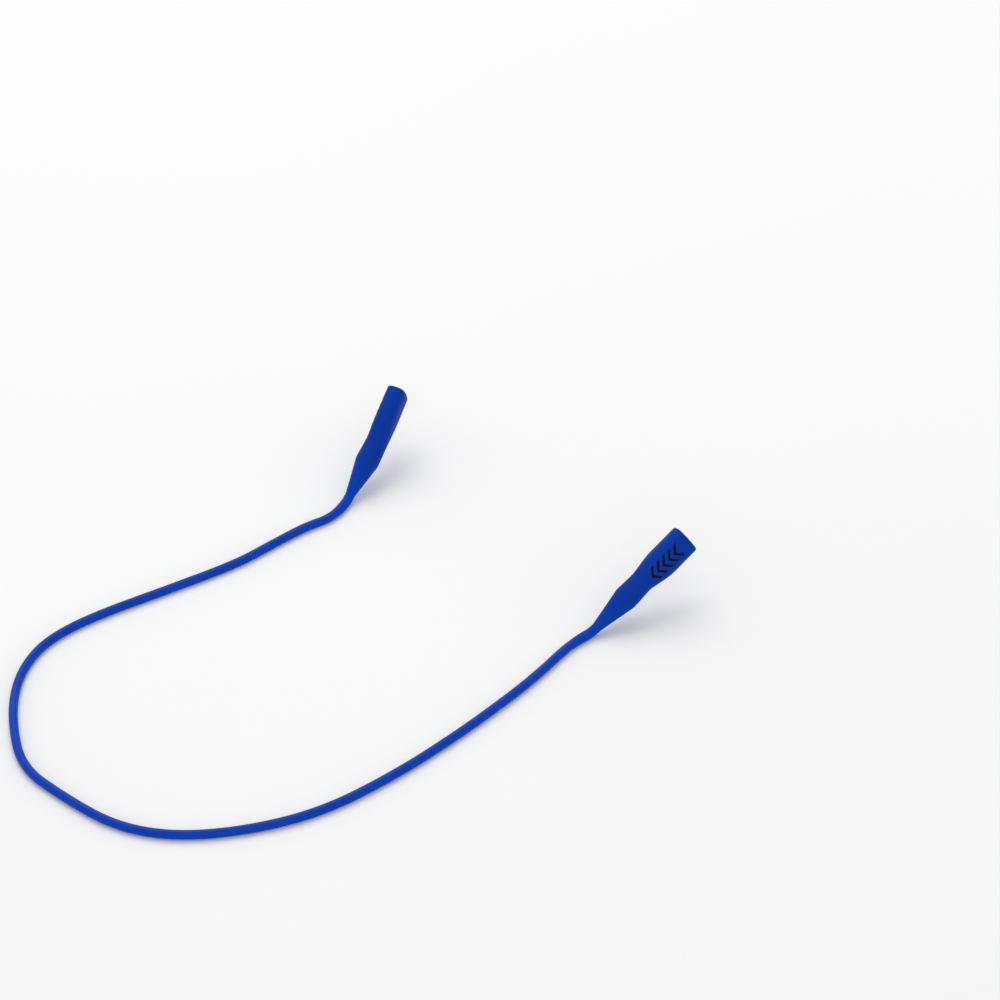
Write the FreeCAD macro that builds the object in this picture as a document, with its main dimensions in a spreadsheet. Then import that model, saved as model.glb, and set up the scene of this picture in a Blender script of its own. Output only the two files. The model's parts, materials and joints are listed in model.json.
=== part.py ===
"""Silicone eyeglasses retainer: two moulded sleeves on a silicone cord with a stranded steel core.

Millimetres, +Z up. The cord lies on the table, z = 0, behind the sleeves; the sleeves rise from
their necks as they do on a pair of temple tips, mouths towards +Y, and the origin is the middle
of the two sleeves' footprint.
"""

import FreeCAD, Part
import math
import os
from FreeCAD import Placement, Rotation, Vector

doc = FreeCAD.newDocument("retainer")

# ---------------------------------------------------------------- driving dimensions

SIZES = {
    # cord
    "cord_radius": 1.2,
    "core_radius": 0.4,
    "core_clearance": 0.02,
    # sleeve: lengths run from the neck end of its taper towards the mouth
    "sleeve_length": 33.5,
    "taper_length": 10.8,
    "neck_radius": 1.35,
    "body_radius": 3.35,
    "flare_start": 17.5,
    "flare_end": 25.0,
    "flare_tall": 3.95,
    "flare_thin": 2.95,
    "mouth_tall": 4.05,
    "mouth_thin": 2.85,
    # socket for the temple tip: a round blind bore that opens into the oval mouth
    "bore_radius": 2.2,
    "bore_floor": 11.8,
    "flare_bore_tall": 3.15,
    "mouth_bore_tall": 3.25,
    # collar: the bent nose of the sleeve, which lays the cord on the table
    "collar_bend_radius": 9.0,
    "sleeve_incline": 26.0,
    "joint_cup_radius": 1.45,
    "joint_setback": 0.65,
    "cable_end_gap": 0.15,
    # crimped ferrule in the sleeve's root
    "ferrule_radius": 0.8,
    "ferrule_start": 3.0,
    "ferrule_length": 5.0,
    "crimp_depth": 0.1,
    "crimp_radius": 0.3,
    # ink marks on the outer broad face
    "ink_thickness": 0.06,
    "mark_start": 19.2,
    "mark_pitch": 2.1,
    "mark_stroke": 0.65,
    "mark_arm": 2.7,
    "mark_lean": 40.0,
    # where the necks lie, how far each sleeve turns outwards from +Y, and how its oval rolls
    "left_neck_x": -43.8,
    "right_neck_x": 46.2,
    "neck_y": -18.0,
    "left_heading": 16.0,
    "right_heading": -11.0,
    "left_roll": 8.0,
    "right_roll": -30.0,
}
MARK_COUNT = 5
CRIMP_COUNT = 2
BOOLEAN_OVERRUN = 1.0

sheet = doc.addObject("Spreadsheet::Sheet", "Sizes")
for row, (alias, value) in enumerate(SIZES.items(), start=1):
    sheet.set(f"A{row}", alias)
    sheet.set(f"B{row}", str(value))
    sheet.setAlias(f"B{row}", alias)
doc.recompute()


def size(alias):
    """The value of one cell of the sheet, in millimetres or degrees."""
    return float(getattr(sheet, alias))


def add(kind, name, placement=None, height=None, **expressions):
    """A new document object whose properties, and height if given, are bound to the sheet's cells."""
    made = doc.addObject(kind, name)
    if placement is not None:
        made.Placement = placement
    if height is not None:
        made.setExpression("Placement.Base.z", height)
    for prop, expression in expressions.items():
        made.setExpression(prop, expression)
    return made


def boolean(kind, name, base, tool):
    made = doc.addObject(kind, name)
    made.Base = base
    made.Tool = tool
    return made


def fuse(name, shapes):
    made = doc.addObject("Part::MultiFuse", name)
    made.Shapes = shapes
    return made


# ---------------------------------------------------------------- frames

# A sleeve is built in its own frame: origin at the neck end of the taper, +Z towards the mouth,
# +X along the tall axis of the oval mouth, +Y towards the right of the part.


def sleeve_frame(side):
    """Placement of a sleeve's own frame in the part's frame."""
    heading = math.radians(size(f"{side}_heading"))
    incline = math.radians(size("sleeve_incline"))
    forward = Vector(-math.sin(heading), math.cos(heading), 0)
    bend = size("collar_bend_radius")
    joint = Vector(size(f"{side}_neck_x"), size("neck_y"), size("neck_radius"))
    origin = joint + forward * (bend * math.sin(incline))
    origin.z += bend * (1 - math.cos(incline))
    along = forward * math.cos(incline) + Vector(0, 0, math.sin(incline))
    tall = Vector(0, 0, math.cos(incline)) - forward * math.sin(incline)
    return Placement(origin, Rotation(tall, along.cross(tall), along, "ZXY")), joint


def joint_in_sleeve():
    """The neck joint's centre in a sleeve's own frame."""
    bend = size("collar_bend_radius")
    incline = math.radians(size("sleeve_incline"))
    return Vector(bend * (1 - math.cos(incline)), 0, -bend * math.sin(incline))


# ---------------------------------------------------------------- sleeves


def section(name, height, tall, thin=None):
    """A closed section of a loft: a circle, or an ellipse that is tall along the sleeve's X."""
    if thin is None:
        return add("Part::Circle", name, height=height, Radius=tall)
    return add("Part::Ellipse", name, height=height, MajorRadius=tall, MinorRadius=thin)


def roll(side):
    """The turn of a sleeve's oval about its own axis, as it sits on the temple tip."""
    return Placement(Vector(), Rotation(Vector(0, 0, 1), size(side + "_roll")))


def loft(name, placement, sections):
    made = doc.addObject("Part::Loft", name)
    made.Sections = sections
    made.Solid = True
    made.Ruled = True
    made.Placement = placement
    return made


def outer_form(side, use, extra=""):
    """The sleeve's outside from shoulder to mouth; extra is added to each radius."""
    name = f"{side}_{use}"
    cells = "Sizes.{}" + extra
    return loft(name, roll(side), [
        section(name + "_shoulder", "Sizes.taper_length", cells.format("body_radius")),
        section(name + "_waist", "Sizes.flare_start", cells.format("body_radius")),
        section(name + "_flare", "Sizes.flare_end",
                cells.format("flare_tall"), cells.format("flare_thin")),
        section(name + "_mouth", "Sizes.sleeve_length",
                cells.format("mouth_tall"), cells.format("mouth_thin")),
    ])


def socket_form(side):
    """The pocket for the temple tip: round at its floor, oval at the mouth."""
    name = side + "_socket"
    return loft(name, roll(side), [
        section(name + "_floor", "Sizes.bore_floor", "Sizes.bore_radius"),
        section(name + "_round", "Sizes.flare_start", "Sizes.bore_radius"),
        section(name + "_flare", "Sizes.flare_end", "Sizes.flare_bore_tall", "Sizes.bore_radius"),
        section(name + "_mouth", "Sizes.sleeve_length",
                "Sizes.mouth_bore_tall", "Sizes.bore_radius"),
    ])


def bent_rod(name, radius, gap):
    """A rod of the collar's bend, from the taper's end to gap short of the neck joint."""
    turned = Rotation(Vector(1, 0, 0), 90) * Rotation(Vector(0, 0, 1), 180)
    rod = add("Part::Torus", name, Radius1="Sizes.collar_bend_radius", Radius2=radius,
              Angle3=f"Sizes.sleeve_incline - {gap} / Sizes.collar_bend_radius * 180 / pi")
    rod.Placement = Placement(Vector(size("collar_bend_radius"), 0, 0), turned)
    return rod


def make_sleeve(side, frame):
    """Moulded silicone sleeve: blind socket, angular shoulder, straight taper and bent collar."""
    taper = add("Part::Cone", side + "_taper", Radius1="Sizes.neck_radius",
                Radius2="Sizes.body_radius", Height="Sizes.taper_length")
    collar = bent_rod(side + "_collar", "Sizes.neck_radius", "Sizes.joint_setback")
    skin = fuse(side + "_skin", [outer_form(side, "outside"), taper, collar])
    cup = add("Part::Sphere", side + "_cup", Placement(joint_in_sleeve(), Rotation()),
              Radius="Sizes.joint_cup_radius")
    bore = "Sizes.core_radius + Sizes.core_clearance"
    passage = add("Part::Cylinder", side + "_passage", Radius=bore, Height="Sizes.ferrule_start")
    bent_passage = bent_rod(side + "_bent_passage", bore, "0")
    seat = add("Part::Cylinder", side + "_seat", height="Sizes.ferrule_start",
               Radius="Sizes.ferrule_radius", Height="Sizes.ferrule_length")
    hollow = fuse(side + "_hollow",
                  [socket_form(side), cup, passage, bent_passage, seat])
    sleeve = boolean("Part::Cut", side + "_sleeve", skin, hollow)
    sleeve.Placement = frame
    return sleeve


def make_cable_end(side, frame):
    """The end of the core inside the sleeve: round the collar's bend and through the ferrule."""
    bend = bent_rod(side + "_end_bend", "Sizes.core_radius",
                    "(Sizes.joint_cup_radius + Sizes.cable_end_gap)")
    straight = add("Part::Cylinder", side + "_end_straight", Radius="Sizes.core_radius",
                   Height="Sizes.ferrule_start + Sizes.ferrule_length")
    end = fuse(side + "_cable_end", [bend, straight])
    end.Placement = frame
    return end


def make_ferrule(side, frame):
    """Stainless ferrule with crimp grooves, bonded in the solid root of the sleeve."""
    tube = add("Part::Cylinder", side + "_ferrule_tube", height="Sizes.ferrule_start",
               Radius="Sizes.ferrule_radius", Height="Sizes.ferrule_length")
    cuts = [add("Part::Cylinder", side + "_ferrule_bore",
                Radius="Sizes.core_radius + Sizes.core_clearance",
                Height=f"Sizes.ferrule_start + Sizes.ferrule_length + {BOOLEAN_OVERRUN}")]
    for i in range(CRIMP_COUNT):
        place = f"{i + 1} / {CRIMP_COUNT + 1}"
        cuts.append(add(
            "Part::Torus", f"{side}_crimp_{i + 1}",
            height=f"Sizes.ferrule_start + Sizes.ferrule_length * {place}",
            Radius1="Sizes.ferrule_radius + Sizes.crimp_radius - Sizes.crimp_depth",
            Radius2="Sizes.crimp_radius"))
    ferrule = boolean("Part::Cut", side + "_ferrule", tube, fuse(side + "_ferrule_cuts", cuts))
    ferrule.Placement = frame
    return ferrule


def make_print(side, frame, outward):
    """Generic ink chevrons on the outer broad face, pointing to the cord, as a thin skin."""
    shell = boolean("Part::Cut", side + "_ink_shell",
                    outer_form(side, "ink_outside", " + Sizes.ink_thickness"),
                    outer_form(side, "ink_inside"))
    arms = []
    lean = size("mark_lean")
    for i in range(MARK_COUNT):
        for way in (1, -1):
            arm = add("Part::Box", f"{side}_arm_{i + 1}_{'up' if way > 0 else 'down'}",
                      Length="Sizes.mark_arm", Height="Sizes.mark_stroke",
                      Width=f"Sizes.body_radius + {BOOLEAN_OVERRUN}")
            turn = Rotation(Vector(0, 1, 0), -lean if way > 0 else 180 + lean)
            corner = Vector(0, 0, size("mark_start") + i * size("mark_pitch"))
            if outward < 0:
                corner.y = -size("body_radius") - BOOLEAN_OVERRUN
            if way < 0:
                corner += turn.multVec(Vector(0, 0, -size("mark_stroke")))
            arm.Placement = roll(side) * Placement(corner, turn)
            arms.append(arm)
    mark = boolean("Part::Common", side + "_print", shell, fuse(side + "_arms", arms))
    mark.Placement = frame
    return mark


# ---------------------------------------------------------------- cord

# The route of the cord between the necks, as it lies on the table. The neck joint itself, which the
# sleeves' frames give, is one more point at each end.
ROUTE = [
    (-42.1, -23.8), (-44.8, -32.0), (-46.6, -42.8), (-48.2, -54.8), (-54.8, -74.8),
    (-62.3, -96.3), (-63.8, -110.8), (-57.9, -125.1), (-46.2, -137.8), (-30.5, -148.4),
    (-13.0, -149.1), (4.2, -148.2), (18.2, -142.0), (30.8, -129.4), (41.2, -111.8),
    (45.8, -89.8), (47.8, -67.8), (47.9, -46.8), (45.6, -33.8), (45.1, -23.9),
]
ARC_SHARE = 0.45


def route_path(points):
    """Straight runs joined by tangent arcs, each as large as its two runs allow."""
    edges = []
    radii = []
    at = points[0]
    for before, corner, after in zip(points, points[1:], points[2:]):
        into = (corner - before).normalize()
        out = (after - corner).normalize()
        turn = into.getAngle(out)
        reach = ARC_SHARE * min((corner - before).Length, (after - corner).Length)
        start = corner - into * reach
        end = corner + out * reach
        inwards = (out - into).normalize()
        radius = reach / math.tan(turn / 2)
        centre = corner + inwards * (radius / math.cos(turn / 2))
        radii.append(radius)
        edges.append(Part.LineSegment(at, start).toShape())
        edges.append(Part.Arc(start, centre - inwards * radius, end).toShape())
        at = end
    edges.append(Part.LineSegment(at, points[-1]).toShape())
    return Part.Wire(edges), radii


def rod_along(path, start, direction, radius):
    ring = Part.Wire(Part.makeCircle(radius, start, direction))
    return path.makePipeShell([ring], True, False)


def make_cord(left, right):
    """The silicone jacket with its rounded ends, and the core that lies in its bore."""
    points = [left] + [Vector(x, y, size("cord_radius")) for x, y in ROUTE] + [right]
    path, radii = route_path(points)
    first = (points[1] - points[0]).normalize()
    last = (points[-1] - points[-2]).normalize()
    radius = size("cord_radius")
    bore = size("core_radius") + size("core_clearance")
    tube = rod_along(path, left, first, radius)
    jacket = tube.cut(rod_along(path, left, first, bore))
    for at, outward in ((left, first * -1), (right, last)):
        jacket = jacket.fuse(Part.makeSphere(radius, at, outward, 0, 90, 360))
    made = []
    for name, shape in (
        ("cord_jacket", jacket),
        ("core_cable", rod_along(path, left, first, size("core_radius"))),
    ):
        piece = doc.addObject("Part::Feature", name)
        piece.Shape = shape
        made.append(piece)
    section_volume = math.pi * radius ** 2 * path.Length
    print(f"cord path {path.Length:.1f} mm; tube {tube.Volume:.1f} mm3 for {section_volume:.1f}")
    print("bend radii", " ".join(f"{r:.1f}" for r in radii))
    return made


# ---------------------------------------------------------------- the parts

nodes = {}
joints = {}
for side, outward in (("left", -1), ("right", 1)):
    frame, joints[side] = sleeve_frame(side)
    nodes[side + "_sleeve"] = make_sleeve(side, frame)
    nodes[side + "_cable_end"] = make_cable_end(side, frame)
    nodes[side + "_ferrule"] = make_ferrule(side, frame)
    nodes[side + "_print"] = make_print(side, frame, outward)
    mouth = frame.multVec(Vector(0, 0, size("sleeve_length")))
    out = frame.Rotation.multVec(Vector(0, 0, 1))
    bore = frame.multVec(Vector(0, 0, (size("bore_floor") + size("flare_start")) / 2))
    print(side, "joint", joints[side], "mouth", mouth, "axis", out, "bore middle", bore)
jacket, core = make_cord(joints["left"], joints["right"])
nodes["cord_jacket"] = jacket
nodes["core_cable"] = core

doc.recompute()
for made in doc.Objects:
    if "Invalid" in made.State or "Error" in made.State:
        raise RuntimeError(f"{made.Name} failed: {made.State}")

os.makedirs("parts", exist_ok=True)
for name, piece in nodes.items():
    piece.Label = name
    if piece.Shape.isNull() or not piece.Shape.isValid():
        raise RuntimeError(f"{name} has no valid shape")
    print(f"{name}: {len(piece.Shape.Solids)} solids, {piece.Shape.Volume:.2f} mm3, "
          f"{piece.Shape.BoundBox}")
    piece.Shape.exportStep(os.path.join("parts", name + ".step"))
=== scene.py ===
"""Silicone eyeglasses retainer: cord, steel core, crimped ends, moulded sleeves, printed marks."""

import json
import math

import bmesh
import bpy
from mathutils import Matrix, Vector, noise
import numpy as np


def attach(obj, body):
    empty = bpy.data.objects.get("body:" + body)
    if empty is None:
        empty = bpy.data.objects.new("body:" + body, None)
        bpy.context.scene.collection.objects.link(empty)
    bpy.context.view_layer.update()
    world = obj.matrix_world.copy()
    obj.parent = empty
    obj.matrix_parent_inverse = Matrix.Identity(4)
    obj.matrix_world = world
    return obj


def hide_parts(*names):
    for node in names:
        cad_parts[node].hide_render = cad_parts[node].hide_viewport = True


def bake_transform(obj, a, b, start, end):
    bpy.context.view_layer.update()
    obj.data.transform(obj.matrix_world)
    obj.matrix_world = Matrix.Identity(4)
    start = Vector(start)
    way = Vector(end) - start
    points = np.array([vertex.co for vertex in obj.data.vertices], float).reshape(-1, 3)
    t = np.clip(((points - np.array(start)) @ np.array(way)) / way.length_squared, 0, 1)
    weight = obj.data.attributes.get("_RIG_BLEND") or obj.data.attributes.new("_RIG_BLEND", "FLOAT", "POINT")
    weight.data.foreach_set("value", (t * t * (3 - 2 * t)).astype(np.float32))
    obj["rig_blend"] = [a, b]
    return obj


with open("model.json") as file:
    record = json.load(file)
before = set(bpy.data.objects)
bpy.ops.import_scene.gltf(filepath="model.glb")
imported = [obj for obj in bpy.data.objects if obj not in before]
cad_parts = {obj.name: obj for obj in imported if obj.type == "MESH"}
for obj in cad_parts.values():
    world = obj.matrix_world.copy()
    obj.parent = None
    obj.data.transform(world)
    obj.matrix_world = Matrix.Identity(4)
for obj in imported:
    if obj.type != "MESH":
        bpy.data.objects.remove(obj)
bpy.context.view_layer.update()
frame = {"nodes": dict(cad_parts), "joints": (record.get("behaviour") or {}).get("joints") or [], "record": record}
scene = bpy.context.scene

# ---------------------------------------------------------------------------------------------
# Camera: a long lens stands high behind the wearer's right shoulder, so the cord's loop lies in
# front and both sleeves rise away from it.
CAMERA_PLACE = Vector((0.6021, -0.5901, 0.6557))
CAMERA_HEADING = math.radians(-45.6)
CAMERA_DIP = math.radians(37.3)
CAMERA_ROLL = math.radians(-4.1)
LENS = 141
SENSOR = 36

camera_data = bpy.data.cameras.new("camera")
camera_data.sensor_width = SENSOR
camera_data.lens = LENS
camera_data.clip_start = 0.01
camera = bpy.data.objects.new("camera", camera_data)
scene.collection.objects.link(camera)
looking = Vector((
    math.sin(CAMERA_HEADING) * math.cos(CAMERA_DIP),
    math.cos(CAMERA_HEADING) * math.cos(CAMERA_DIP),
    -math.sin(CAMERA_DIP),
))
level = Vector((math.cos(CAMERA_HEADING), -math.sin(CAMERA_HEADING), 0))
upright = level.cross(looking)
rolled = level * math.cos(CAMERA_ROLL) + upright * math.sin(CAMERA_ROLL)
facing = Matrix((rolled, rolled.cross(looking), -looking)).transposed().to_4x4()
camera.matrix_world = Matrix.Translation(CAMERA_PLACE) @ facing
scene.camera = camera

# ---------------------------------------------------------------------------------------------
# The cord's route: one smooth line on the table from neck joint to neck joint. Cord and core
# both follow it, so it is made once, as a curve, and read back as closely spaced points.
MM = 0.001
CORD_RADIUS = 1.2 * MM
ROUTE = [
    (-42.3, -23.3), (-45.3, -31.6), (-46.8, -42.6), (-48.2, -54.8), (-54.8, -74.8),
    (-62.1, -96.0), (-63.9, -109.6), (-61.2, -119.6), (-55.6, -128.6), (-46.0, -138.0),
    (-30.5, -148.4), (-13.0, -149.1), (4.2, -148.2), (18.2, -142.0), (30.8, -129.4),
    (41.2, -111.8), (45.8, -89.8), (47.5, -67.5), (47.6, -46.4), (46.8, -34.5),
    (45.7, -26.0), (45.7, -20.8),
]
STEP = 0.5 * MM
CURVE_STEPS = 32

neck = {
    side: Vector(next(j for j in frame["joints"] if j["name"] == side + "_neck_flex")["pos_m"])
    for side in ("left", "right")
}


def smooth_line(name, points):
    """The points of the smooth curve that these points steer, spaced a step apart."""
    curve = bpy.data.curves.new(name, "CURVE")
    curve.dimensions = "3D"
    curve.resolution_u = CURVE_STEPS
    spline = curve.splines.new("NURBS")
    spline.points.add(len(points) - 1)
    for control, point in zip(spline.points, points):
        control.co = (*point, 1)
    spline.order_u = 3
    spline.use_endpoint_u = True
    carrier = bpy.data.objects.new(name, curve)
    mesh = bpy.data.meshes.new_from_object(carrier)
    dense = [v.co.copy() for v in mesh.vertices]
    bpy.data.objects.remove(carrier)
    bpy.data.meshes.remove(mesh)
    bpy.data.curves.remove(curve)
    return spaced(dense)


def spaced(dense):
    """The same line with its points evenly spaced, about a step apart."""
    travelled = [0.0]
    for a, b in zip(dense, dense[1:]):
        travelled.append(travelled[-1] + (b - a).length)
    count = max(2, round(travelled[-1] / STEP))
    line = []
    at = 0
    for i in range(count + 1):
        want = travelled[-1] * i / count
        while at < len(dense) - 2 and travelled[at + 1] < want:
            at += 1
        share = (want - travelled[at]) / max(travelled[at + 1] - travelled[at], 1e-12)
        line.append(dense[at].lerp(dense[at + 1], share))
    return line


cord_line = smooth_line(
    "cord_route",
    [neck["left"]] + [Vector((x * MM, y * MM, CORD_RADIUS)) for x, y in ROUTE] + [neck["right"]],
)

# ---------------------------------------------------------------------------------------------
# Core cable: stranded stainless wire, one king wire with six laid round it. It keeps the cord
# springy and off the neck, and lies loose in the bore of the jacket.
CORE_STRANDS = 6
CORE_WIRE = 0.132 * MM
CORE_HELIX = 0.265 * MM
CORE_LAY = 6.5 * MM
WIRE_SIDES = 8


def node(tree, kind, settings=None, **inputs):
    """A node with its settings made and its inputs linked to sockets or set to values."""
    made = tree.nodes.new(kind)
    for name, value in (settings or {}).items():
        setattr(made, name, value)
    for name, value in inputs.items():
        key = int(name[1:]) if name[1:].isdigit() else name.replace("_", " ")
        if isinstance(value, bpy.types.NodeSocket):
            tree.links.new(value, made.inputs[key])
        else:
            made.inputs[key].default_value = value
    return made


def new_tree(name, sockets):
    """A geometry tree with a geometry input and output and these further named inputs."""
    tree = bpy.data.node_groups.new(name, "GeometryNodeTree")
    tree.interface.new_socket("Geometry", in_out="OUTPUT", socket_type="NodeSocketGeometry")
    tree.interface.new_socket("Geometry", in_out="INPUT", socket_type="NodeSocketGeometry")
    for label, kind in sockets:
        tree.interface.new_socket(label, in_out="INPUT", socket_type="NodeSocket" + kind)
    return tree, tree.nodes.new("NodeGroupInput")


def math_node(tree, operation, a, b=0.0):
    """The outcome of one sum on numbers."""
    return node(tree, "ShaderNodeMath", {"operation": operation}, _0=a, _1=b).outputs[0]


def vector_node(tree, operation, a, b=(0.0, 0.0, 0.0)):
    """The outcome of one sum on vectors; for a scale, b is the number to scale by."""
    second = {"Scale": b} if operation == "SCALE" else {"_1": b}
    return node(tree, "ShaderNodeVectorMath", {"operation": operation}, _0=a, **second).outputs[0]


def wire_rope_tree():
    """Lays wires round the line that comes in, and gives each its round section."""
    tree, given = new_tree("wire_rope", [
        ("Strands", "Int"), ("Wire radius", "Float"), ("Helix radius", "Float"),
        ("Lay", "Float"), ("Finish", "Material"),
    ])
    line = node(tree, "GeometryNodeMeshToCurve", Mesh=given.outputs["Geometry"]).outputs[0]
    profile = node(tree, "GeometryNodeCurvePrimitiveCircle", Resolution=WIRE_SIDES,
                   Radius=given.outputs["Wire radius"]).outputs[0]
    copies = node(tree, "GeometryNodeDuplicateElements", {"domain": "SPLINE"},
                  Geometry=line, Amount=given.outputs["Strands"])
    along = tree.nodes.new("GeometryNodeSplineParameter").outputs["Length"]
    heading = tree.nodes.new("GeometryNodeInputTangent").outputs[0]
    turns = math_node(tree, "ADD",
                      math_node(tree, "DIVIDE", copies.outputs[1], given.outputs["Strands"]),
                      math_node(tree, "DIVIDE", along, given.outputs["Lay"]))
    angle = math_node(tree, "MULTIPLY", turns, 2 * math.pi)
    side = vector_node(tree, "NORMALIZE",
                       vector_node(tree, "CROSS_PRODUCT", heading, (0.0, 0.0, 1.0)))
    rise = vector_node(tree, "CROSS_PRODUCT", side, heading)
    out = vector_node(
        tree, "ADD",
        vector_node(tree, "SCALE", side, math_node(tree, "COSINE", angle)),
        vector_node(tree, "SCALE", rise, math_node(tree, "SINE", angle)))
    offset = vector_node(tree, "SCALE", out, given.outputs["Helix radius"])
    laid = node(tree, "GeometryNodeSetPosition", Geometry=copies.outputs[0], Offset=offset)
    both = tree.nodes.new("GeometryNodeJoinGeometry")
    for source in (line, laid.outputs[0]):
        tube = node(tree, "GeometryNodeCurveToMesh", Curve=source, Profile_Curve=profile)
        tube.inputs["Fill Caps"].default_value = True
        tree.links.new(tube.outputs[0], both.inputs[0])
    real = node(tree, "GeometryNodeRealizeInstances", Geometry=both.outputs[0])
    done = node(tree, "GeometryNodeSetMaterial", Geometry=real.outputs[0],
                Material=given.outputs["Finish"])
    end = tree.nodes.new("NodeGroupOutput")
    tree.links.new(done.outputs[0], end.inputs[0])
    return tree


def made_by_tree(name, start, tree, **values):
    """A plain mesh object: the start mesh after a geometry tree with these named inputs."""
    carrier = bpy.data.objects.new(name + "_start", start)
    scene.collection.objects.link(carrier)
    modifier = carrier.modifiers.new("build", "NODES")
    modifier.node_group = tree
    sockets = {s.name: s.identifier for s in tree.interface.items_tree if s.in_out == "INPUT"}
    for label, value in values.items():
        modifier[sockets[label.replace("_", " ")]] = value
    seen = carrier.evaluated_get(bpy.context.evaluated_depsgraph_get())
    mesh = bpy.data.meshes.new_from_object(seen)
    mesh.name = name
    # the tree leaves an empty slot before its finish, so the finish is given again on its own
    mesh.materials.clear()
    mesh.materials.append(values["Finish"])
    bpy.data.objects.remove(carrier)
    made = bpy.data.objects.new(name, mesh)
    scene.collection.objects.link(made)
    return made


def new_material(name):
    """A material with its Principled shader, ready for its own nodes."""
    material = bpy.data.materials.new(name)
    material.use_nodes = True
    return material, material.node_tree, material.node_tree.nodes["Principled BSDF"]


def drawn_steel(name, tint, roughness):
    """Bright drawn steel: fine scratches and a little uneven polish."""
    material, tree, shader = new_material(name)
    place = tree.nodes.new("ShaderNodeTexCoord").outputs["Object"]
    polish = node(tree, "ShaderNodeTexNoise", Vector=place, Scale=900.0, Detail=4.0)
    colour = node(tree, "ShaderNodeValToRGB", Fac=polish.outputs["Fac"])
    colour.color_ramp.elements[0].color = (*[c * 0.82 for c in tint], 1)
    colour.color_ramp.elements[1].color = (*tint, 1)
    tree.links.new(colour.outputs[0], shader.inputs["Base Color"])
    rough = node(tree, "ShaderNodeMapRange", Value=polish.outputs["Fac"],
                 To_Min=roughness - 0.06, To_Max=roughness + 0.08)
    tree.links.new(rough.outputs[0], shader.inputs["Roughness"])
    scratches = node(tree, "ShaderNodeTexNoise", Vector=place, Scale=4000.0, Detail=2.0)
    bump = node(tree, "ShaderNodeBump", Height=scratches.outputs["Fac"], Strength=0.15,
                Distance=0.00001)
    tree.links.new(bump.outputs[0], shader.inputs["Normal"])
    shader.inputs["Metallic"].default_value = 1.0
    return material


def line_mesh(name, line):
    """A mesh that is only an open line through the points."""
    mesh = bpy.data.meshes.new(name)
    mesh.from_pydata(line, [(i, i + 1) for i in range(len(line) - 1)], [])
    return mesh


wire_steel = drawn_steel("stranded stainless wire", (0.66, 0.67, 0.69), 0.28)
wire_rope = wire_rope_tree()
core = made_by_tree("steel_core", line_mesh("core_line", cord_line), wire_rope,
                    Strands=CORE_STRANDS, Wire_radius=CORE_WIRE, Helix_radius=CORE_HELIX,
                    Lay=CORE_LAY, Finish=wire_steel)
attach(core, "cord")
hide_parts("core_cable")

# ---------------------------------------------------------------------------------------------
# Cord jacket: extruded silicone tube, 2.4 mm thick, smooth and a little glossier than the
# moulded ends, with very faint die lines along it. Its two ends are slimmer, out of sight in the
# lips of the sleeves, so that the necks have room to bend.
JACKET_BORE = 0.42 * MM
JACKET_SEGMENTS = 32
BORE_SEGMENTS = 16
WAVER = 0.012 * MM
WAVER_SCALE = 160
WAVER_TURN = 0.004
SLIM_REACH = 3.9 * MM
SLIM_STEP = 0.6 * MM
SLIM_DEPTH = 0.28 * MM
# how far the die lines' pattern runs on in a metre of cord; round the cord it has radius 1
DIE_LINES_PER_METRE = 12
CORD_TINT = (0.0006, 0.047, 0.42)
CORD_DEEP_TINT = (0.0006, 0.042, 0.375)
LINT_TINT = (0.10, 0.22, 0.50)
BLOOM_TINT = (0.35, 0.55, 0.95)


def part_way(gone, whole):
    """How much of a stretch is behind, from 0 to 1."""
    return min(max(gone / whole, 0), 1)


def frames_along(line):
    """For each point of a line: the point, and the directions along it, sideways and up."""
    found = []
    for i, point in enumerate(line):
        along = (line[min(i + 1, len(line) - 1)] - line[max(i - 1, 0)]).normalized()
        side = along.cross(Vector((0, 0, 1))).normalized()
        found.append((point, along, side, side.cross(along)))
    return found


def tube_skin(bm, stations, radius, segments):
    """Rings of vertices along the stations, joined by faces; radius is a function or a number."""
    extruded = bm.verts.layers.float_vector["extruded"]
    rings = []
    for i, (point, _, side, rise) in enumerate(stations):
        ring = []
        for k in range(segments):
            turn = 2 * math.pi * k / segments
            reach = radius(point, turn) if callable(radius) else radius
            out = side * math.cos(turn) + rise * math.sin(turn)
            vertex = bm.verts.new(point + out * reach)
            vertex[extruded] = (math.cos(turn), math.sin(turn), i * STEP * DIE_LINES_PER_METRE)
            ring.append(vertex)
        rings.append(ring)
    for a, b in zip(rings, rings[1:]):
        for k in range(segments):
            bm.faces.new((a[k], a[k - 1], b[k - 1], b[k]))
    return rings


def piece_from(bm, name, material):
    """A smooth-shaded piece from a bmesh, with its faces pointing outwards."""
    bmesh.ops.recalc_face_normals(bm, faces=bm.faces)
    mesh = bpy.data.meshes.new(name)
    bm.to_mesh(mesh)
    bm.free()
    mesh.materials.append(material)
    mesh.shade_smooth()
    made = bpy.data.objects.new(name, mesh)
    scene.collection.objects.link(made)
    return made


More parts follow.
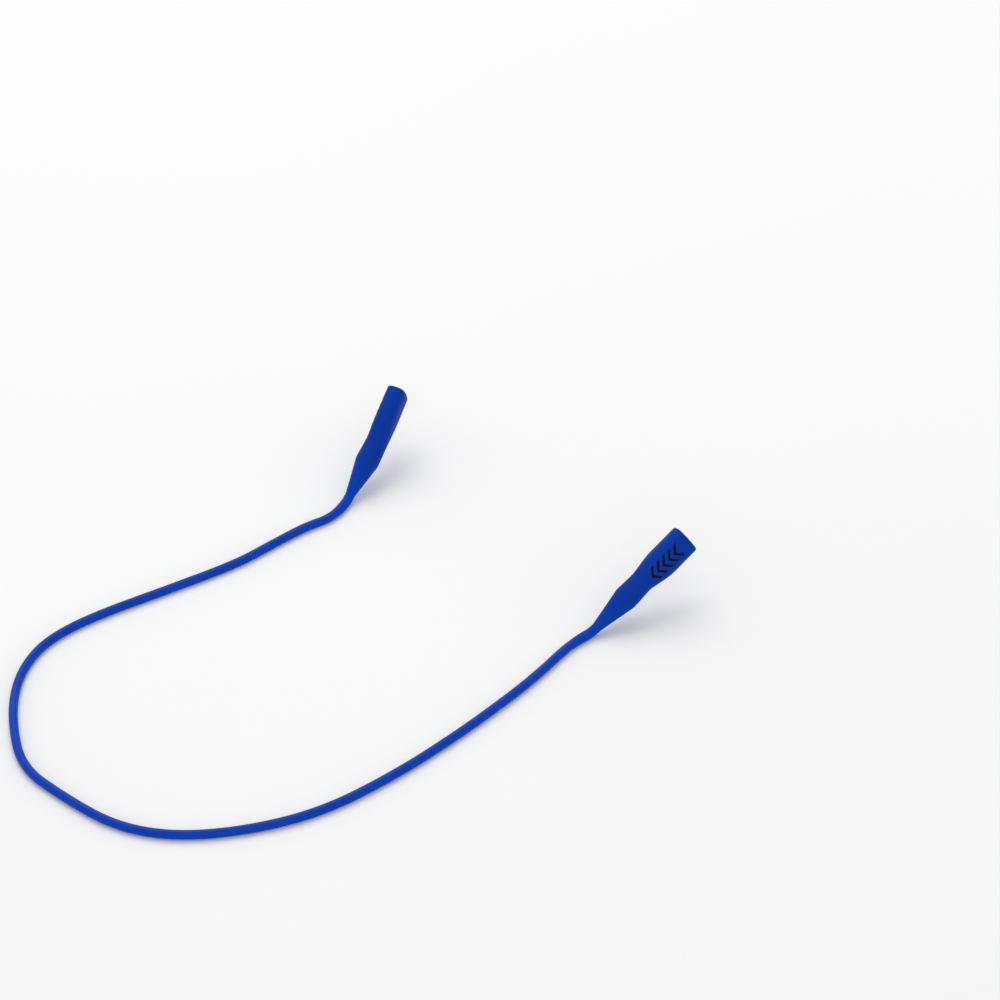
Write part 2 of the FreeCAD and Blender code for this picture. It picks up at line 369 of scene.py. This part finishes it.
def silicone(name, light, dark, roughness, gloss, bloom, grain, speckle, near_cord=None,
             die_lines=False):
    """Pigmented silicone: soft colour drift, fine matte grain and a few specks of lint.

    The bloom is the soft light that matte silicone shows at its edges. near_cord is the colour
    that a sleeve thins to at its cord end, and die_lines asks for the cord's extrusion lines.
    """
    material, tree, shader = new_material(name)
    place = tree.nodes.new("ShaderNodeTexCoord").outputs["Object"]
    drift = node(tree, "ShaderNodeTexNoise", Vector=place, Scale=90.0, Detail=3.0,
                 Roughness=0.55)
    blue = node(tree, "ShaderNodeValToRGB", Fac=drift.outputs["Fac"])
    blue.color_ramp.elements[0].position = 0.3
    blue.color_ramp.elements[0].color = (*dark, 1)
    blue.color_ramp.elements[1].position = 0.7
    blue.color_ramp.elements[1].color = (*light, 1)
    lint = node(tree, "ShaderNodeTexVoronoi", Vector=place, Scale=650.0)
    lint_mask = node(tree, "ShaderNodeMapRange", Value=lint.outputs["Distance"],
                     From_Min=0.05, From_Max=0.02, To_Min=0.0, To_Max=speckle)
    colour = node(tree, "ShaderNodeMix", {"data_type": "RGBA"}, _0=lint_mask.outputs[0])
    pigment = blue.outputs[0]
    if near_cord is not None:
        reach = node(tree, "ShaderNodeAttribute", {"attribute_name": "towards_cord"})
        thinner = node(tree, "ShaderNodeMix", {"data_type": "RGBA"}, _0=reach.outputs["Fac"])
        tree.links.new(pigment, thinner.inputs[6])
        thinner.inputs[7].default_value = (*near_cord, 1)
        pigment = thinner.outputs[2]
    tree.links.new(pigment, colour.inputs[6])
    colour.inputs[7].default_value = (*LINT_TINT, 1)
    tree.links.new(colour.outputs[2], shader.inputs["Base Color"])
    matte = node(tree, "ShaderNodeTexNoise", Vector=place, Scale=2600.0, Detail=3.0)
    smears = node(tree, "ShaderNodeTexNoise", Vector=place, Scale=220.0, Detail=2.0)
    mixed = math_node(tree, "ADD", math_node(tree, "MULTIPLY", matte.outputs["Fac"], 0.5),
                      math_node(tree, "MULTIPLY", smears.outputs["Fac"], 0.5))
    rough = node(tree, "ShaderNodeMapRange", Value=mixed, From_Min=0.3, From_Max=0.7,
                 To_Min=roughness - 0.06, To_Max=roughness + 0.08)
    tree.links.new(rough.outputs[0], shader.inputs["Roughness"])
    relief = matte.outputs["Fac"]
    if die_lines:
        drawn = node(tree, "ShaderNodeAttribute", {"attribute_name": "extruded"})
        lines = node(tree, "ShaderNodeTexNoise", Vector=drawn.outputs["Vector"], Scale=5.0,
                     Detail=2.0)
        relief = math_node(tree, "ADD", relief, lines.outputs["Fac"])
    bump = node(tree, "ShaderNodeBump", Height=relief, Strength=grain, Distance=0.00004)
    tree.links.new(bump.outputs[0], shader.inputs["Normal"])
    shader.inputs["IOR"].default_value = 1.43
    shader.inputs["Specular IOR Level"].default_value = gloss
    shader.inputs["Sheen Weight"].default_value = bloom
    shader.inputs["Sheen Roughness"].default_value = 0.25
    shader.inputs["Sheen Tint"].default_value = (*BLOOM_TINT, 1)
    return material


def jacket_reach(point, turn):
    """The jacket's radius: it wavers a very little, and is slimmer inside the sleeves' lips."""
    to_neck = min((point - joint).length for joint in neck.values())
    slimmed = SLIM_DEPTH * part_way(SLIM_REACH - to_neck, SLIM_STEP)
    waver = WAVER * noise.noise(Vector((point.x, point.y, turn * WAVER_TURN)) * WAVER_SCALE)
    return CORD_RADIUS + waver - slimmed


cord_blue = silicone("cord silicone", light=CORD_TINT, dark=CORD_DEEP_TINT,
                     roughness=0.33, gloss=0.1, bloom=0.0, grain=0.12, speckle=0.25,
                     die_lines=True)
stations = frames_along(cord_line)
bm = bmesh.new()
bm.verts.layers.float_vector.new("extruded")
outside = tube_skin(bm, stations, jacket_reach, JACKET_SEGMENTS)
inside = tube_skin(bm, stations, JACKET_BORE, BORE_SEGMENTS)
for end in (0, -1):
    # a flat cut end: the wider ring has two vertices for each of the narrow one
    for k in range(BORE_SEGMENTS):
        a, b, c = outside[end][2 * k - 1], outside[end][2 * k], outside[end][2 * k - 2]
        bm.faces.new((inside[end][k], b, a))
        bm.faces.new((inside[end][k], a, c, inside[end][k - 1]))
jacket = piece_from(bm, "cord_jacket_tube", cord_blue)
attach(jacket, "cord")
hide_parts("cord_jacket")

# ---------------------------------------------------------------------------------------------
# Sleeves: soft satin silicone, moulded over the cord's end in a mould of two halves. A round root
# with a straight taper and an angular shoulder opens into a flat oval mouth for a temple tip, and
# a thin lip runs out over the cord.
COLLAR_BEND = 9.0 * MM
MOUTH_END = 33.5
LIP_END = -8.7
MOUTH = MOUTH_END * MM
LIP_START = LIP_END * MM
LIP_EDGE = 0.03 * MM
RIM_OUTER = 0.42 * MM
RIM_CORNER = 0.6 * MM
RIM_INNER = 0.16 * MM
RIM_STEPS = 7
POCKET_FLOOR = 11.8 * MM
POCKET_FLOOR_RADIUS = 0.9 * MM
SEAM_HEIGHT = 0.035 * MM
SEAM_FROM = 1 * MM
SEAM_RUN = 4 * MM
SEAM_WIDTH = math.radians(1.8)
SQUARE_FROM = 16 * MM
SQUARE_RUN = 9 * MM
SQUARE_GAIN = 0.8
TINT_FROM = 12 * MM
TINT_RUN = 15 * MM
DIMPLE = 0.004
DIMPLE_SCALE = 320
RING_STEP = math.radians(5)
RING_SPACING = 0.5 * MM
RING_GAP = 0.1 * MM
POCKET_SPACING = 0.7 * MM


class Sleeve:
    """Where one sleeve lies: its centreline follows the cord, then the collar, then is straight."""

    def __init__(self, side):
        mount = next(m for m in frame["record"]["mounts"] if m["name"] == side + "_socket")
        self.axis = Vector(mount["axis"])
        self.joint = neck[side]
        self.forward = Vector((self.axis.x, self.axis.y, 0)).normalized()
        self.incline = math.asin(self.axis.z)
        self.collar = COLLAR_BEND * self.incline
        self.tail = cord_line if side == "left" else cord_line[::-1]
        self.bow = BOW[side]
        self.roll = ROLL[side]

    def place(self, height):
        """Centre, direction, tall axis and right-hand axis; height is 0 where the taper starts."""
        reach = height + self.collar
        if reach < 0:
            at = int(-reach / STEP)
            share = -reach / STEP - at
            centre = self.tail[at].lerp(self.tail[at + 1], share)
            along = (self.tail[at] - self.tail[at + 2]).normalized()
            tall = (Vector((0, 0, 1)) - along * along.z).normalized()
            return centre, along, tall, along.cross(tall)
        angle = min(reach / COLLAR_BEND, self.incline)
        along = self.forward * math.cos(angle) + Vector((0, 0, math.sin(angle)))
        tall = Vector((0, 0, math.cos(angle))) - self.forward * math.sin(angle)
        centre = self.joint + self.forward * (COLLAR_BEND * math.sin(angle))
        centre = centre + Vector((0, 0, COLLAR_BEND * (1 - math.cos(angle))))
        centre = centre + along * max(height, 0)
        return centre, along, tall, along.cross(tall)

    def rolled(self, tall, right):
        """The oval's own tall and broad axes, from the upright ones."""
        cosine, sine = math.cos(self.roll), math.sin(self.roll)
        return tall * cosine + right * sine, right * cosine - tall * sine


def eased(corners, radii):
    """A line through the corners with each inner corner rounded to its radius."""
    line = [corners[0]]
    for before, corner, after, radius in zip(corners, corners[1:], corners[2:], radii):
        before, corner, after = Vector(before), Vector(corner), Vector(after)
        into, out = (corner - before).normalized(), (after - corner).normalized()
        turn = into.angle_signed(out)
        reach = min(radius * math.tan(abs(turn) / 2),
                    0.48 * (corner - before).length, 0.48 * (after - corner).length)
        start, end = corner - into * reach, corner + out * reach
        steps = max(2, round(math.degrees(abs(turn)) / 3))
        for i in range(steps + 1):
            share = i / steps
            bend = start.lerp(corner, share).lerp(corner.lerp(end, share), share)
            line.append(tuple(bend))
    line.append(corners[-1])
    return line


def on_line(line, height):
    """The radius that an eased line gives at a height."""
    for (a, low), (b, high) in zip(line, line[1:]):
        if height <= b:
            return low + (high - low) * (height - a) / (b - a)
    return line[-1][1]


def in_metres(corners):
    """Corners of an outline that are given in millimetres, as height and radius."""
    return [(height * MM, radius * MM) for height, radius in corners]


NOSE = [(LIP_END, 1.213), (-5.6, 1.30), (0.0, 1.36), (10.8, 3.35)]
NOSE_RADII = [10 * MM, 5 * MM, 1.7 * MM]
UP = eased(in_metres(NOSE + [(16.6, 3.16), (22.8, 3.98), (MOUTH_END, 4.0)]),
           NOSE_RADII + [12 * MM, 20 * MM])
DOWN = eased(in_metres(NOSE + [(17.2, 3.0), (23.8, 4.24), (MOUTH_END, 4.2)]),
             NOSE_RADII + [3 * MM, 18 * MM])
THIN = eased(in_metres(NOSE + [(17.4, 3.08), (24.0, 2.96), (MOUTH_END, 2.88)]),
             NOSE_RADII + [12 * MM, 12 * MM])
POCKET_TALL = eased(in_metres([(11.8, 2.2), (17.5, 2.2), (25.0, 3.15), (MOUTH_END, 3.25)]),
                    [10 * MM, 14 * MM])
POCKET_THIN = 2.2 * MM
# how each oval rolls about its sleeve, and the left sleeve's bow where the temple tip ends in it
ROLL = {"left": math.radians(8), "right": math.radians(-30)}
BOW = {
    "left": eased(in_metres([(LIP_END, 0), (0, 0), (17.5, 0.65), (MOUTH_END, 0)]),
                  [40 * MM, 60 * MM]),
    "right": in_metres([(LIP_END, 0), (MOUTH_END, 0)]),
}


def squareness(height):
    """The exponent of the oval: round on the body, a flatter oval towards the mouth."""
    share = part_way(height - SQUARE_FROM, SQUARE_RUN)
    return 2 + SQUARE_GAIN * share * share * (3 - 2 * share)


def oval(turn, up, down, thin, power):
    """A point of an oval section, as distances along its tall and right-hand axes."""
    tall, wide = math.cos(turn), math.sin(turn)
    reach = up if tall > 0 else down
    return (math.copysign(abs(tall) ** (2 / power), tall) * reach,
            math.copysign(abs(wide) ** (2 / power), wide) * thin)


def ring_turns():
    """Angles round a section, with close ones at the two mould seams."""
    turns = []
    for half in (0, math.pi):
        turns += [half + math.radians(d) for d in (-2.4, -1.2, 0, 1.2, 2.4)]
        turns += [half + RING_STEP * i for i in range(1, round(math.pi / RING_STEP))]
    return sorted(turns)


TURNS = ring_turns()


def seam_rise(turn, height):
    """The low ridge that the mould's parting line leaves along both narrow edges."""
    off = min(abs(turn), abs(turn - math.pi))
    begun = part_way(height - SEAM_FROM, SEAM_RUN)
    return SEAM_HEIGHT * begun * max(0, 1 - off / SEAM_WIDTH)


def add_ring(bm, sleeve, height, up, down, thin, power, outside=False):
    """A closed ring of vertices; outside ones carry the mould seam and the sleeve's bow."""
    centre, along, tall, right = sleeve.place(height)
    if outside:
        lean = (on_line(sleeve.bow, height + MM) - on_line(sleeve.bow, height - MM)) / (2 * MM)
        centre = centre + right * on_line(sleeve.bow, height)
        right = (right - along * lean).normalized()
    tall, right = sleeve.rolled(tall, right)
    towards_cord = bm.verts.layers.float["towards_cord"]
    ring = []
    for turn in TURNS:
        a, b = oval(turn, up, down, thin, power)
        if outside:
            a += math.copysign(seam_rise(turn, height), a)
        soft = 1 + DIMPLE * noise.noise((centre + tall * a + right * b) * DIMPLE_SCALE)
        vertex = bm.verts.new(centre + (tall * a + right * b) * soft)
        vertex[towards_cord] = part_way(TINT_FROM - height, TINT_RUN)
        ring.append(vertex)
    return ring


def sleeve_heights():
    """Where the outside has its rings: at every bend of its outlines, and evenly between."""
    heights = {round(h, 6) for line in (UP, DOWN, THIN) for h, _ in line}
    even = round((MOUTH - LIP_START) / RING_SPACING)
    heights |= {round(LIP_START + (MOUTH - LIP_START) * i / even, 6) for i in range(even)}
    kept = [LIP_START, LIP_START + LIP_EDGE]
    for height in sorted(h for h in heights if h < MOUTH - RIM_OUTER):
        if height - kept[-1] > RING_GAP:
            kept.append(height)
    return kept


# the root's cavity: the ferrule's seat, the cable's passage, the neck's hollow and the lip
CAVITY = [(8.0, 0.81), (3.0, 0.81), (3.0, 0.45), (0.3, 0.45), (-0.4, 0.7), (-1.5, 0.72),
          (-2.6, 0.74), (-3.7, 0.76), (-4.0, 1.2), (-5.0, 1.2), (-6.0, 1.2), (-7.0, 1.2),
          (-7.8, 1.206), (LIP_END + 0.03, 1.206)]


def sleeve_mesh(side, material):
    """One sleeve as a closed skin: the cavity, the outside, the rim and the pocket."""
    sleeve = Sleeve(side)
    bm = bmesh.new()
    bm.verts.layers.float.new("towards_cord")
    rings = []
    for height, radius in in_metres(CAVITY):
        rings.append(add_ring(bm, sleeve, height, radius, radius, radius, 2))
    for height in sleeve_heights():
        rings.append(add_ring(bm, sleeve, height, on_line(UP, height), on_line(DOWN, height),
                              on_line(THIN, height), squareness(height), outside=True))
    # rounded rim, outside and inside
    quarter = [math.pi / 2 * i / RIM_STEPS for i in range(RIM_STEPS + 1)]
    for turn in quarter:
        fall = 1 - math.cos(turn)
        height = MOUTH - RIM_OUTER * (1 - math.sin(turn))
        rings.append(add_ring(bm, sleeve, height, on_line(UP, MOUTH) - RIM_CORNER * fall,
                              on_line(DOWN, MOUTH) - RIM_CORNER * fall,
                              on_line(THIN, MOUTH) - RIM_OUTER * fall, squareness(height)))
    for turn in reversed(quarter):
        inset = RIM_INNER * (1 - math.cos(turn))
        tall = on_line(POCKET_TALL, MOUTH) + inset
        height = MOUTH - RIM_INNER * (1 - math.sin(turn))
        rings.append(add_ring(bm, sleeve, height, tall, tall, POCKET_THIN + inset,
                              squareness(height)))
    # pocket for the temple tip, down to its rounded floor
    top = MOUTH - RIM_INNER
    deep = round((top - POCKET_FLOOR) / POCKET_SPACING)
    for i in range(1, deep):
        height = top - (top - POCKET_FLOOR) * i / deep
        fall = max(0, 1 - (height - POCKET_FLOOR) / POCKET_FLOOR_RADIUS)
        inset = POCKET_FLOOR_RADIUS * (1 - math.sqrt(max(0, 1 - fall * fall)))
        tall = on_line(POCKET_TALL, height) - inset
        rings.append(add_ring(bm, sleeve, height, tall, tall, POCKET_THIN - inset,
                              squareness(height)))
    for share in (0.6, 0.25):
        radius = (POCKET_THIN - POCKET_FLOOR_RADIUS) * share
        rings.append(add_ring(bm, sleeve, POCKET_FLOOR, radius, radius, radius, 2))
    count = len(TURNS)
    for a, b in zip(rings, rings[1:]):
        for k in range(count):
            bm.faces.new((a[k], a[k - 1], b[k - 1], b[k]))
    for ring in (rings[0], rings[-1]):
        centre = bm.verts.new(sum((v.co for v in ring), Vector()) / count)
        for k in range(count):
            bm.faces.new((ring[k - 1], ring[k], centre))
    return sleeve, piece_from(bm, side + "_end_sleeve", material)


HALF_BEND = 3.2 * MM
SLEEVE_TINT = (0.0008, 0.038, 0.335)
SLEEVE_DEEP_TINT = (0.0006, 0.034, 0.30)
sleeve_blue = silicone("sleeve silicone", light=SLEEVE_TINT, dark=SLEEVE_DEEP_TINT,
                       roughness=0.5, gloss=0.07, bloom=0.12, grain=0.3, speckle=0.3,
                       near_cord=CORD_TINT)
sleeves = {}
for side in ("left", "right"):
    sleeve, piece = sleeve_mesh(side, sleeve_blue)
    sleeves[side] = (sleeve, piece)
    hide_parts(side + "_sleeve")
    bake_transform(piece, "cord", side + "_end",
             start=tuple(sleeve.joint - sleeve.forward * HALF_BEND),
             end=tuple(sleeve.joint + sleeve.forward * HALF_BEND))

# ---------------------------------------------------------------------------------------------
# Ink marks: five chevrons pad-printed in black silicone ink on each outer broad face, pointing
# down to the cord. The ink is a thin film that follows the sleeve.
MARK_COUNT = 5
MARK_START = 19.2 * MM
MARK_PITCH = 2.1 * MM
MARK_STROKE = 0.65 * MM
MARK_ARM = 2.7 * MM
MARK_LEAN = math.radians(40)
INK_THICKNESS = 0.05 * MM
# the film's outer sheet and its inner one, which is sunk in the silicone, in film thicknesses
FILM_LEVELS = (1.0, -0.5)
MARK_CELLS = 12
MARK_ROWS = 4
MARK_CLEARANCE = 10 * MM


def ink_marks_tree():
    """Repeats one flat mark along the sleeve and presses each copy onto its outer face."""
    tree, given = new_tree("ink_marks", [
        ("Marks", "Int"), ("Pitch", "Vector"), ("Sleeve", "Object"), ("Outward", "Vector"),
        ("Film", "Float"), ("Finish", "Material"),
    ])
    places = node(tree, "GeometryNodeMeshLine", Count=given.outputs["Marks"],
                  Offset=given.outputs["Pitch"])
    copies = node(tree, "GeometryNodeInstanceOnPoints", Points=places.outputs[0],
                  Instance=given.outputs["Geometry"])
    real = node(tree, "GeometryNodeRealizeInstances", Geometry=copies.outputs[0])
    face = node(tree, "GeometryNodeObjectInfo", Object=given.outputs["Sleeve"])
    here = tree.nodes.new("GeometryNodeInputPosition").outputs[0]
    inward = vector_node(tree, "SCALE", given.outputs["Outward"], -1.0)
    hit = node(tree, "GeometryNodeRaycast", Target_Geometry=face.outputs["Geometry"],
               Source_Position=here, Ray_Direction=inward, Ray_Length=1.0)
    level = node(tree, "GeometryNodeInputNamedAttribute", Name="film_level")
    height = math_node(tree, "MULTIPLY", level.outputs["Attribute"], given.outputs["Film"])
    lift = vector_node(tree, "SCALE", hit.outputs["Hit Normal"], height)
    film = vector_node(tree, "ADD", hit.outputs["Hit Position"], lift)
    pressed = node(tree, "GeometryNodeSetPosition", Geometry=real.outputs[0], Position=film)
    done = node(tree, "GeometryNodeSetMaterial", Geometry=pressed.outputs[0],
                Material=given.outputs["Finish"])
    end = tree.nodes.new("NodeGroupOutput")
    tree.links.new(done.outputs[0], end.inputs[0])
    return tree


def flat_mark(sleeve, outward):
    """One chevron, two flat sheets closed at the edge, clear of the sleeve's outer face."""
    centre, along, tall, right = sleeve.place(MARK_START)
    tall, right = sleeve.rolled(tall, right)
    base = centre + right * outward * MARK_CLEARANCE
    mesh = bpy.data.meshes.new("flat_mark")
    bm = bmesh.new()
    ends = []
    for way in (-outward, outward):
        out = tall * way * math.cos(MARK_LEAN) + along * math.sin(MARK_LEAN)
        ends.append(out * MARK_ARM)
    thick = along * (MARK_STROKE / math.cos(MARK_LEAN))
    spine = [ends[1].lerp(Vector(), i / MARK_CELLS) for i in range(MARK_CELLS)]
    spine += [Vector().lerp(ends[0], i / MARK_CELLS) for i in range(MARK_CELLS + 1)]
    film_level = bm.verts.layers.float.new("film_level")
    sheets = []
    for level in FILM_LEVELS:
        rows = []
        for j in range(MARK_ROWS + 1):
            row = [bm.verts.new(base + point + thick * (j / MARK_ROWS)) for point in spine]
            for vertex in row:
                vertex[film_level] = level
            rows.append(row)
        for a, b in zip(rows, rows[1:]):
            for i in range(len(spine) - 1):
                quad = (a[i], a[i + 1], b[i + 1], b[i])
                bm.faces.new(quad if level > 0 else quad[::-1])
        left, right = [row[0] for row in rows], [row[-1] for row in rows]
        sheets.append(rows[0] + right[1:] + rows[-1][-2::-1] + left[-2:0:-1])
    upper, lower = sheets
    for k in range(len(upper)):
        bm.faces.new((upper[k - 1], lower[k - 1], lower[k], upper[k]))
    bm.to_mesh(mesh)
    bm.free()
    return mesh


def silicone_ink(name):
    """Black ink, worn a little thin so that some of the blue shows through."""
    material, tree, shader = new_material(name)
    place = tree.nodes.new("ShaderNodeTexCoord").outputs["Object"]
    wear = node(tree, "ShaderNodeTexNoise", Vector=place, Scale=1500.0, Detail=4.0,
                Roughness=0.7)
    worn = node(tree, "ShaderNodeValToRGB", Fac=wear.outputs["Fac"])
    worn.color_ramp.elements[0].position = 0.58
    worn.color_ramp.elements[0].color = (0.003, 0.0035, 0.005, 1)
    worn.color_ramp.elements[1].position = 0.74
    worn.color_ramp.elements[1].color = (0.006, 0.020, 0.10, 1)
    tree.links.new(worn.outputs[0], shader.inputs["Base Color"])
    rough = node(tree, "ShaderNodeMapRange", Value=wear.outputs["Fac"], To_Min=0.42,
                 To_Max=0.68)
    tree.links.new(rough.outputs[0], shader.inputs["Roughness"])
    bump = node(tree, "ShaderNodeBump", Height=wear.outputs["Fac"], Strength=0.3,
                Distance=0.00003)
    tree.links.new(bump.outputs[0], shader.inputs["Normal"])
    shader.inputs["Specular IOR Level"].default_value = 0.08
    return material


ink = silicone_ink("black silicone ink")
ink_marks = ink_marks_tree()
for side, outward in (("left", -1), ("right", 1)):
    sleeve, piece = sleeves[side]
    _, _, tall, right = sleeve.place(MARK_START)
    right = sleeve.rolled(tall, right)[1] * outward
    marks = made_by_tree(side + "_ink_marks", flat_mark(sleeve, outward), ink_marks,
                         Marks=MARK_COUNT, Pitch=sleeve.axis * MARK_PITCH, Sleeve=piece,
                         Outward=right, Film=INK_THICKNESS, Finish=ink)
    marks.data.shade_smooth()
    marks.data.set_sharp_from_angle(angle=math.radians(50))
    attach(marks, side + "_end")
    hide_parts(side + "_print")

# ---------------------------------------------------------------------------------------------
# Crimped ferrules and the core's ends, sealed in the root of each sleeve: plain turned steel
# tube, squeezed in two rings on the stranded wire.
ferrule_steel = drawn_steel("crimped ferrule steel", (0.56, 0.57, 0.59), 0.36)
for side in ("left", "right"):
    for name, steel in (("_ferrule", ferrule_steel), ("_cable_end", wire_steel)):
        piece = frame["nodes"][side + name]
        piece.data.materials.clear()
        piece.data.materials.append(steel)

# ---------------------------------------------------------------------------------------------
# Table and light: a plain pale table top under two wide soft boxes, a strong one and a weaker one
# to fill the shadows, with white card on all sides.
table_material, tree, shader = new_material("pale table")
place = tree.nodes.new("ShaderNodeTexCoord").outputs["Object"]
mottle = node(tree, "ShaderNodeTexNoise", Vector=place, Scale=4.0, Detail=2.0)
tone = node(tree, "ShaderNodeMapRange", Value=mottle.outputs["Fac"], To_Min=0.83, To_Max=0.86)
tree.links.new(tone.outputs[0], shader.inputs["Base Color"])
shader.inputs["Roughness"].default_value = 0.9
shader.inputs["Specular IOR Level"].default_value = 0.1
bm = bmesh.new()
bmesh.ops.create_grid(bm, x_segments=2, y_segments=2, size=6.0)
table_top = piece_from(bm, "table_top", table_material)

world = bpy.data.worlds.new("white studio")
world.use_nodes = True
world.node_tree.nodes["Background"].inputs["Color"].default_value = (1, 1, 1, 1)
world.node_tree.nodes["Background"].inputs["Strength"].default_value = 0.75
scene.world = world
for name, place, energy, width in (
    ("key soft box", (-0.9, 0.6, 1.6), 16.0, 1.4),
    ("fill soft box", (1.2, -1.2, 1.0), 5.0, 1.2),
):
    data = bpy.data.lights.new(name, "AREA")
    data.energy = energy
    data.size = width
    lamp = bpy.data.objects.new(name, data)
    lamp.location = place
    lamp.rotation_euler = (-Vector(place)).to_track_quat("-Z", "Y").to_euler()
    scene.collection.objects.link(lamp)
scene.view_settings.view_transform = "Standard"
